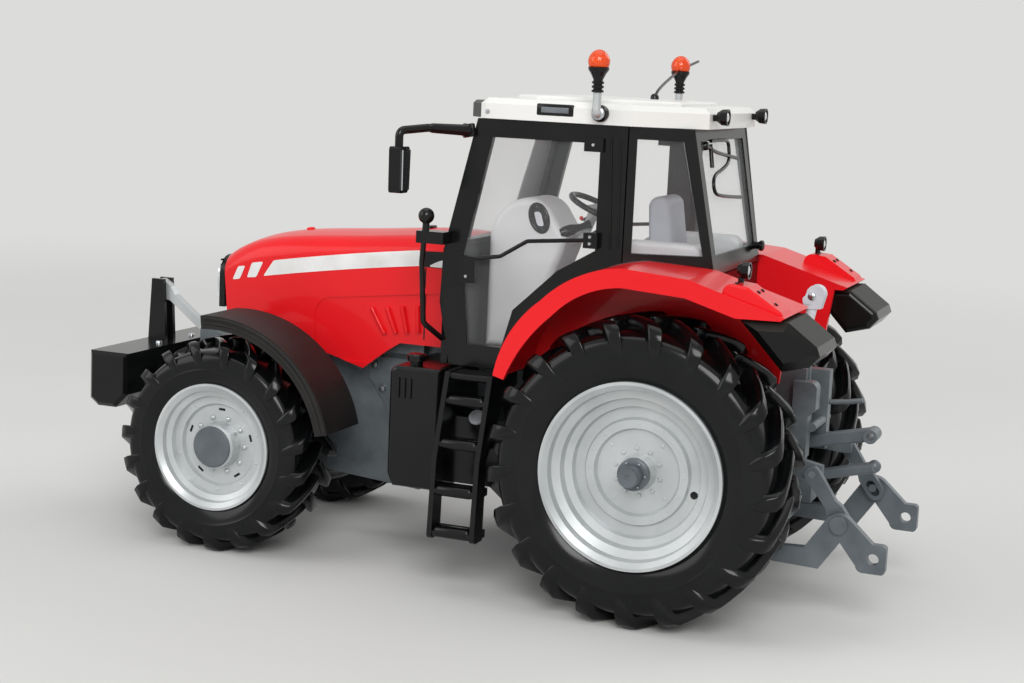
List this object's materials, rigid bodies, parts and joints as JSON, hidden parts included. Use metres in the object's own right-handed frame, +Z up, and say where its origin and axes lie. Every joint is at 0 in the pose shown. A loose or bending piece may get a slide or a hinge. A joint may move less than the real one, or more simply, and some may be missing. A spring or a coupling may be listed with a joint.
{
  "type": "scale model of a farm tractor",
  "caption": "Die-cast scale model of a four-wheel-drive farm tractor with a glazed cab, lugged tyres, rear linkage and a front ballast weight on its own linkage",
  "frame": {"origin": "centre of the model's bounding box in plan, on the ground under the tyres", "axes": "+X forward, +Y to the tractor's left, +Z up"},
  "size_m": [0.173, 0.0828, 0.1069],
  "materials": {
    "body_red": "gloss",
    "roof_white": "satin",
    "black_plastic": "satin",
    "casting_grey": "satin",
    "linkage_grey": "satin",
    "rim_silver": "metallic",
    "tyre": "matte",
    "glass": "clear",
    "mirror": "polished",
    "lamp_clear": "clear",
    "beacon_orange": "translucent",
    "interior_grey": "matte"
  },
  "bodies": {
    "tractor": {"engine_block": "casting_grey", "transmission": "casting_grey", "front_axle": "casting_grey", "bonnet": "body_red", "grille": "black_plastic", "headlamps": "lamp_clear", "cab_frame": "black_plastic", "cab_windows": "glass", "doors": "black_plastic", "door_glass": "glass", "cab_floor": "black_plastic", "roof": "roof_white", "dash_console": "interior_grey", "steering_wheel": "black_plastic", "seat": "interior_grey", "cab_consoles": "interior_grey", "exhaust": "black_plastic", "mirrors": "black_plastic", "mirror_glass": "mirror", "hand_rail": "black_plastic", "beacon_stems": "rim_silver", "beacon_lenses": "beacon_orange", "work_lamps": "black_plastic", "rear_fenders": "body_red", "fender_extensions": "black_plastic", "side_tanks": "black_plastic", "steps": "black_plastic", "hitch_frame": "casting_grey", "draw_bars": "linkage_grey"},
    "rear_wheel_left": {"rear_rim_left": "rim_silver", "rear_tyre_left": "tyre"},
    "steering_left": {"knuckle_left": "casting_grey", "front_fender_left": "black_plastic"},
    "front_wheel_left": {"front_rim_left": "rim_silver", "front_tyre_left": "tyre"},
    "lower_link_left": {"lower_link_left": "linkage_grey"},
    "rear_wheel_right": {"rear_rim_right": "rim_silver", "rear_tyre_right": "tyre"},
    "steering_right": {"knuckle_right": "casting_grey", "front_fender_right": "black_plastic"},
    "front_wheel_right": {"front_rim_right": "rim_silver", "front_tyre_right": "tyre"},
    "lower_link_right": {"lower_link_right": "linkage_grey"},
    "lift_arms": {"lift_arms": "casting_grey"},
    "lift_rod_left": {"lift_rod_left": "linkage_grey"},
    "lift_rod_right": {"lift_rod_right": "linkage_grey"},
    "front_arms": {"front_arms": "linkage_grey"},
    "front_ballast": {"front_ballast": "black_plastic"},
    "front_top_link": {"front_top_link": "rim_silver"},
    "rear_top_link": {"rear_top_link": "rim_silver"}
  },
  "joints": [
    {"name": "rear_wheel_left_turn", "type": "hinge", "parent": "tractor", "child": "rear_wheel_left", "pos_m": [-0.04195, 0.0312, 0.0292], "axis": [0, 1, 0], "continuous": true},
    {"name": "steering_left_turn", "type": "hinge", "parent": "tractor", "child": "steering_left", "pos_m": [0.05105, 0.019, 0.0222], "axis": [0, 0, 1], "range_deg": [-15, 15]},
    {"name": "front_wheel_left_turn", "type": "hinge", "parent": "steering_left", "child": "front_wheel_left", "pos_m": [0.05105, 0.025, 0.0222], "axis": [0, 1, 0], "continuous": true},
    {"name": "lower_link_left_turn", "type": "hinge", "parent": "tractor", "child": "lower_link_left", "pos_m": [-0.05995, 0.0186, 0.0136], "axis": [0, 1, 0], "range_deg": [-6, 8]},
    {"name": "rear_wheel_right_turn", "type": "hinge", "parent": "tractor", "child": "rear_wheel_right", "pos_m": [-0.04195, -0.0312, 0.0292], "axis": [0, 1, 0], "continuous": true},
    {"name": "steering_right_turn", "type": "hinge", "parent": "tractor", "child": "steering_right", "pos_m": [0.05105, -0.019, 0.0222], "axis": [0, 0, 1], "range_deg": [-15, 15]},
    {"name": "front_wheel_right_turn", "type": "hinge", "parent": "steering_right", "child": "front_wheel_right", "pos_m": [0.05105, -0.025, 0.0222], "axis": [0, 1, 0], "continuous": true},
    {"name": "lower_link_right_turn", "type": "hinge", "parent": "tractor", "child": "lower_link_right", "pos_m": [-0.05995, -0.0186, 0.0136], "axis": [0, 1, 0], "range_deg": [-6, 8]},
    {"name": "lift_arms_turn", "type": "hinge", "parent": "tractor", "child": "lift_arms", "pos_m": [-0.06255, 0, 0.0305], "axis": [0, 1, 0], "range_deg": [-13, 17]},
    {"name": "lift_rod_left_turn", "type": "hinge", "parent": "lift_arms", "child": "lift_rod_left", "pos_m": [-0.07115, 0.0165, 0.0289], "axis": [0, 1, 0], "range_deg": [-24, 18]},
    {"name": "lift_rod_right_turn", "type": "hinge", "parent": "lift_arms", "child": "lift_rod_right", "pos_m": [-0.07115, -0.0165, 0.0289], "axis": [0, 1, 0], "range_deg": [-24, 18]},
    {"name": "front_arms_turn", "type": "hinge", "parent": "tractor", "child": "front_arms", "pos_m": [0.06155, 0, 0.0254], "axis": [0, -1, 0], "range_deg": [-25, 5]},
    {"name": "front_ballast_turn", "type": "hinge", "parent": "front_arms", "child": "front_ballast", "pos_m": [0.07525, 0, 0.031], "axis": [0, -1, 0], "range_deg": [-4, 19]},
    {"name": "front_top_link_turn", "type": "hinge", "parent": "tractor", "child": "front_top_link", "pos_m": [0.07025, 0, 0.04], "axis": [0, -1, 0], "range_deg": [-29, 6]},
    {"name": "rear_top_link_turn", "type": "hinge", "parent": "tractor", "child": "rear_top_link", "pos_m": [-0.06355, 0.0035, 0.0456], "axis": [0, -1, 0], "range_deg": [0, 80]}
  ],
  "couplings": [
    {"joint": "steering_right_turn", "follows": "steering_left_turn", "ratio": 1},
    {"joint": "lower_link_right_turn", "follows": "lower_link_left_turn", "ratio": 1},
    {"joint": "lift_arms_turn", "follows": "lower_link_left_turn", "ratio": 2.0671},
    {"joint": "lift_rod_left_turn", "follows": "lower_link_left_turn", "ratio": -2.8465},
    {"joint": "lift_rod_right_turn", "follows": "lower_link_left_turn", "ratio": -2.8465},
    {"joint": "front_ballast_turn", "follows": "front_arms_turn", "ratio": -0.7288},
    {"joint": "front_top_link_turn", "follows": "front_arms_turn", "ratio": 1.1361}
  ]
}
